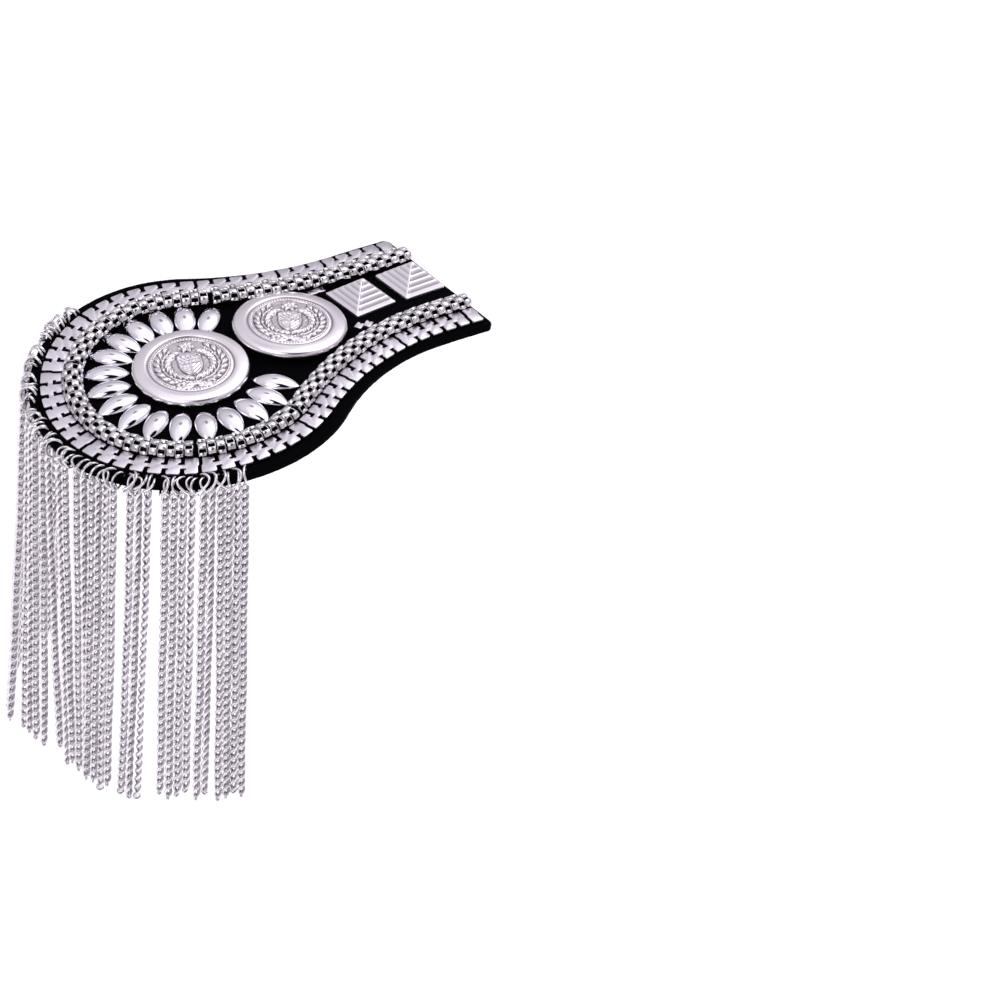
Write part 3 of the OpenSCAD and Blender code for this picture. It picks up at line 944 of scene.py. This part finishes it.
def buttons():
    for node, at, turn, seed, size, tilt in BUTTONS:
        soup = Soup()
        points, faces, tones = button_points(seed)
        points = tilted(points * size, heading(BUTTON_FRONT - turn), tilt)
        soup.add(placed(points, *on_felt(at, turn)), faces, tones)
        settle(soup.make(node + "_relief", BUTTON_SILVER), node)


def petal_points():
    """A petal's skin: a pointed oval dome with a thin upright edge."""
    lengths, sides = 30, 17
    points = []
    for u in 0.997 * np.sin(np.linspace(-pi / 2, pi / 2, lengths)):
        x = u * PETAL_L / 2
        half = PETAL_W / 2 * (1 - abs(u) ** 2.2) ** 0.72
        rise = max((PETAL_H - PETAL_EDGE) * (1 - u ** 2), 0.05 * MM)
        points.append((x, -half, 0))
        for v in np.linspace(-pi / 2, pi / 2, sides):
            points.append((x, half * sin(v), PETAL_EDGE + rise * cos(v) ** 0.9))
        points.append((x, half, 0))
    return points, grid_faces(lengths, sides + 2, closed=True)


def petals():
    points, faces = petal_points()
    rng = random.Random(3)
    for k in range(PETALS):
        turn = FIRST_PETAL + PETAL_STEP * k
        at = PETAL_RING_AT + PETAL_RING_R * heading(turn)
        soup = Soup()
        skew = radians(rng.uniform(-1.5, 1.5))
        soup.add(placed(points, *on_felt(at, turn + skew)), faces, 0.85 + rng.uniform(-0.2, 0.2))
        node = f"petal_{k + 1:02d}"
        petal = soup.make(node + "_dome", PETAL_SILVER, 50)
        face_out(petal)
        settle(petal, node)


def square_ring(half, tone):
    """A square with rounded corners, anticlockwise, and its tones, with a painted highlight on the corners.
    """
    points, tones = [], []
    corner = min(0.6 * MM, half * 0.5)
    near = min(0.5 * MM, 0.4 * half)
    steps = 4
    for quarter in range(4):
        first = quarter * pi / 2
        x = (half - corner) * (1 if quarter in (0, 3) else -1)
        y = (half - corner) * (1 if quarter in (0, 1) else -1)
        bend = circle(corner, first + np.linspace(0, pi / 2, steps), (x, y))
        before = bend[0] - near * heading(first + pi / 2)
        after = bend[-1] + near * heading(first + pi)
        points += [before, *bend, after]
        # Painted highlight: the corner points are lighter.
        tones += [tone] + [min(1.0, tone + 0.3)] * steps + [tone]
    return np.array(points), tones


def stud_points():
    """A square pyramid with rounded ridges around it and a plain skirt."""
    half = STUD_W / 2
    rim, foot = half - STUD_BAND, STUD_SKIRT + STUD_STEP
    # Each ring: size, height and tone; the skirt's tones are painted shade, darker towards the foot.
    rings = [
        (half - 0.1 * MM, 0.0, 0.5), (half, 0.12 * MM, 0.55), (half, STUD_SKIRT - 0.2 * MM, 0.65),
        (half - 0.08 * MM, STUD_SKIRT, 0.8), (rim, foot, 0.7),
    ]
    run = (rim - 0.25 * MM) / STUD_RIDGES
    rise = (STUD_H - foot) / STUD_RIDGES
    # Each ridge's lines: share of the run, lift and tone; the tones paint shade in the grooves and light on
    # the crests.
    ridge_lines = [
        (0.0, -0.12, 0.35), (0.12, -0.04, 0.5), (0.3, 0.1, 0.75), (0.52, 0.16, 0.8), (0.74, 0.1, 0.75),
        (0.92, 0.0, 0.6),
    ]
    for k in range(STUD_RIDGES):
        for share, lift, tone in ridge_lines:
            rings.append((rim - (k + share) * run, foot + (k + share) * rise + lift * MM, tone))
    rings.append((0.2 * MM, STUD_H - 0.03 * MM, 0.9))
    points, tones = [], []
    for size, height, tone in rings:
        ring, ring_shading = square_ring(size, tone)
        points.append(raised(ring, height))
        tones += ring_shading
    return np.vstack(points), solid_faces(len(rings), len(ring)), tones


def studs():
    points, faces, tones = stud_points()
    for node, at in STUDS:
        soup = Soup()
        soup.add(placed(points, *on_felt(at, STUD_TURN)), faces, tones)
        settle(soup.make(node + "_pyramid", STUD_SILVER, 25), node)


def stray_links():
    """Single flat links stuck beside the mesh chain."""
    half_l, half_w = 1.5 * MM, 1.15 * MM
    notch = half_l - 0.5 * MM
    box = box_outline(half_l, half_w)
    cut = [(half_l, -0.3 * MM), (notch, -0.2 * MM), (notch, 0.2 * MM), (half_l, 0.3 * MM)]
    points, faces = slab(box[:2] + cut + box[2:], 0.0, 0.7 * MM, 0.12 * MM)
    soup = Soup()
    for x, y, turn in STRAY_LINKS:
        soup.add(placed(points, *on_felt((x * MM, y * MM), turn)), faces, 0.9)
    settle(soup.make("stray_links", FLAT_SILVER, 28), "flat_chain_03")


# Fringe

def jump_rings():
    """Wire rings through the felt's holes, each hanging at its own slant."""
    rng = random.Random(41)
    turn = full_turn(26)
    for node in RING_NODES:
        soup = Soup()
        for hole, turned, height, _, size in RINGS[node]:
            slant = rng.uniform(-RING_SLANT, RING_SLANT)
            droop = rng.uniform(*RING_DROOP)
            lean = rng.uniform(*RING_LEAN)
            out = size * (1 + np.cos(turn) - lean * np.sin(turn))
            beside = slant * out * np.sin(turn)
            plan = hole + np.outer(out, heading(turned)) + np.outer(beside, heading(turned + pi / 2))
            path = np.column_stack([plan, height + size * np.sin(turn) + droop * out])
            soup.add(*bar_loop(path, RING_WIRE / 2, 8), rng.uniform(0.6, 1.0))
        settle(soup.make(node + "_wire", WIRE_SILVER), node)


def strand_path(points):
    """The middle line of a fringe tube, from its rings of eight points, top first."""
    order = np.argsort(-points[:, 2])
    return np.array([level.mean(0) for level in np.array_split(points[order], len(points) // 8)])


def curb_link(length, width, wire, twist, steps, sides, slant):
    """One link of a curb chain: a slanting oval ring, twisted about the chain's line, and its tones of
    painted shade inside and at the ends.
    """
    turn = full_turn(steps)
    along = (length - wire) / 2 * np.cos(turn)
    across = (width - wire) / 2 * np.sign(np.sin(turn)) * np.abs(np.sin(turn)) ** 0.8
    spin = twist * np.cos(turn)
    side, front = across * np.cos(spin), across * np.sin(spin)
    c, s = cos(slant), sin(slant)
    path = np.column_stack([side * c + along * s, front, along * c - side * s])
    points, faces = bar_loop(path, wire / 2, sides)
    middle = np.repeat(path, sides, axis=0)
    # Painted shade: the wire's inner side and the link's ends, where links touch, are darker.
    facing = ((points - middle) * unit(middle)).sum(1) / (wire / 2)
    ends = np.repeat(np.abs(np.cos(turn)) ** 4, sides)
    return points, faces, (0.5 + 0.5 * facing) * (1 - 0.55 * ends)


def fringe():
    """Curb chains along the tubes of the frame, with a round ring at the end of each."""
    link, link_faces, link_shading = curb_link(LINK_L, LINK_W, LINK_WIRE, LINK_TWIST, 18, 8, LINK_SLANT)
    ring, ring_faces, ring_shading = curb_link(END_L, END_W, END_WIRE, 0.0, 16, 6, 0.0)
    rng = random.Random(17)
    for node in FRINGE_NODES:
        soup = Soup()
        strands = [strand_path(points) for points in islands(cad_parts[node])]
        for path in sorted(strands, key=lambda path: around_end(path[0])):
            angle = around_end(path[0])
            ring_z = min(ALL_RINGS, key=lambda ring: abs(ring[3] - angle))[2]
            start = ring_z - STRAND_SAG + RING_WIRE / 2 + LINK_WIRE
            chain_l = start - path[-1][2] - END_L + LINK_WIRE + END_WIRE
            count = 1 + round((chain_l - LINK_L) / LINK_PITCH)
            pitch = (chain_l - LINK_L) / (count - 1)
            facing = STRAND_FACING + rng.gauss(0, 0.55)
            drift = rng.uniform(-0.4, 0.4)
            phase = rng.uniform(0, 6.28)
            heights = start - LINK_L / 2 - pitch * np.arange(count)
            across = [np.interp(-heights, -path[:, 2], path[:, axis]) for axis in (0, 1)]
            line = np.column_stack([*across, heights])
            for k in range(count):
                sway = 0.12 * MM * sin(k * 0.37 + phase) * min(1, k / 6)
                spin = facing + drift * sin(k * 0.11 + phase) + rng.uniform(-0.2, 0.2)
                side = np.array([*heading(spin), 0])
                z_axis = unit(line[max(k - 1, 0)] - line[min(k + 1, count - 1)])
                x_axis = unit(side - [0, 0, side @ z_axis / z_axis[2]])
                axes = x_axis, np.cross(z_axis, x_axis), z_axis
                tones = 0.3 + 0.7 * link_shading * rng.uniform(0.8, 1.0)
                soup.add(placed(link, line[k] + sway * side, *axes), link_faces, tones)
            spin = facing + rng.uniform(0.8, 1.6)
            axes = (cos(spin), sin(spin), 0), (-sin(spin), cos(spin), 0), (0, 0, 1)
            origin = path[-1] + [0, 0, END_L / 2]
            soup.add(placed(ring, origin, *axes), ring_faces, 0.3 + 0.6 * ring_shading)
        settle(soup.make(node + "_links", FRINGE_SILVER), node)


def pins():
    """The hidden pins keep their CAD shape, in steel."""
    for node in ("outer_pin", "neck_pin"):
        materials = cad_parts[node].data.materials
        materials.clear()
        materials.append(PIN_STEEL)


# Stage, light and camera

def stage():
    bpy.ops.mesh.primitive_plane_add(size=12, location=(0, 0, -0.42))
    floor = bpy.context.object
    floor.name = "floor"
    material, tree, shader = nodes_of("pale_floor")
    feed(tree, shader, {
        "Base Color": add_mix(tree, add_noise(tree, 3, 2), (0.88, 0.88, 0.88), (0.92, 0.92, 0.92)),
        "Roughness": 0.9,
        "Emission Color": (1, 1, 1, 1),
        "Emission Strength": 0.4,
    })
    floor.data.materials.append(material)


def area_light(name, place, size, power, colour):
    """A broad lamp that faces the middle of the object."""
    data = bpy.data.lights.new(name, "AREA")
    data.shape = "RECTANGLE"
    data.size, data.size_y = size
    data.energy = power
    data.color = colour
    light = bpy.data.objects.new(name, data)
    light.location = place
    light.rotation_mode = "QUATERNION"
    light.rotation_quaternion = (Vector((-0.01, 0, -0.02)) - Vector(place)).to_track_quat("-Z", "Y")
    bpy.context.scene.collection.objects.link(light)


def add_zone(tree, direction, towards, inner_deg, outer_deg, inside, outside):
    """A round zone of the studio around a direction, with a soft edge."""
    inputs = {0: direction, 1: Vector(towards).normalized()}
    nearness = add_node(tree, "VectorMath", inputs, operation="DOT_PRODUCT").outputs["Value"]
    return add_range(tree, nearness, outside, inside, cos(radians(outer_deg)), cos(radians(inner_deg)))


def lights():
    """A room of soft light, brighter overhead, with zones that the silver mirrors, and two broad lamps."""
    world = bpy.data.worlds.new("studio")
    bpy.context.scene.world = world
    world.use_nodes = True
    tree = world.node_tree
    direction = add_node(tree, "TexCoord", {}).outputs["Generated"]
    height = add_node(tree, "SeparateXYZ", {0: direction}).outputs["Z"]
    ramp = add_node(tree, "ValToRGB", {0: add_range(tree, height, 0.0, 1.0, -1.0, 1.0)})
    marks = ramp.color_ramp.elements
    while len(marks) < len(SKY):
        marks.new(0.5)
    for mark, (place, tone) in zip(marks, SKY):
        mark.position = (place + 1) / 2
        mark.color = (tone, tone, tone, 1)
    level = ramp.outputs["Color"]
    for operation, *zone in ZONES:
        level = add_math(tree, operation, level, add_zone(tree, direction, *zone))
    feed(tree, tree.nodes["Background"], {"Strength": level, "Color": (0.96, 0.93, 1.0, 1)})
    area_light("key", (1.6, 0.2, 1.9), (1.5, 1.2), 7, (1, 1, 1))
    area_light("fill", (-1.5, -0.4, 2.0), (1.6, 1.6), 12, (0.98, 0.96, 1.0))


def camera():
    """The photo's view, from a fit of the board's outline, buttons and studs."""
    away = Vector((sin(AZIMUTH), -cos(AZIMUTH), 0))
    back = cos(ELEVATION) * away + Vector((0, 0, sin(ELEVATION)))
    level = Vector((cos(AZIMUTH), sin(AZIMUTH), 0))
    upright = back.cross(level)
    right = cos(ROLL) * level + sin(ROLL) * upright
    up = cos(ROLL) * upright - sin(ROLL) * level
    axes = Matrix((right, up, back)).transposed()
    crown_x, crown_y = ((px - IMAGE_PX / 2) / PX_PER_METRE for px in CROWN_PX)
    place = Vector((0, 0, FELT_T)) - axes @ Vector((crown_x, -crown_y, -CAMERA_FAR))
    data = bpy.data.cameras.new("camera")
    data.sensor_width = SENSOR_MM
    data.lens = PX_PER_METRE * CAMERA_FAR / IMAGE_PX * SENSOR_MM
    data.clip_start, data.clip_end = 0.1, 50
    obj = bpy.data.objects.new("camera", data)
    obj.matrix_world = Matrix.Translation(place) @ axes.to_4x4()
    bpy.context.scene.collection.objects.link(obj)
    bpy.context.scene.camera = obj


camera()
stage()
lights()
bpy.context.scene.view_settings.view_transform = "Standard"

board = felt_board()
fuzz = felt_fuzz()
flat_chain()
mesh_chain()
buttons()
petals()
studs()
stray_links()
jump_rings()
fringe()
pins()
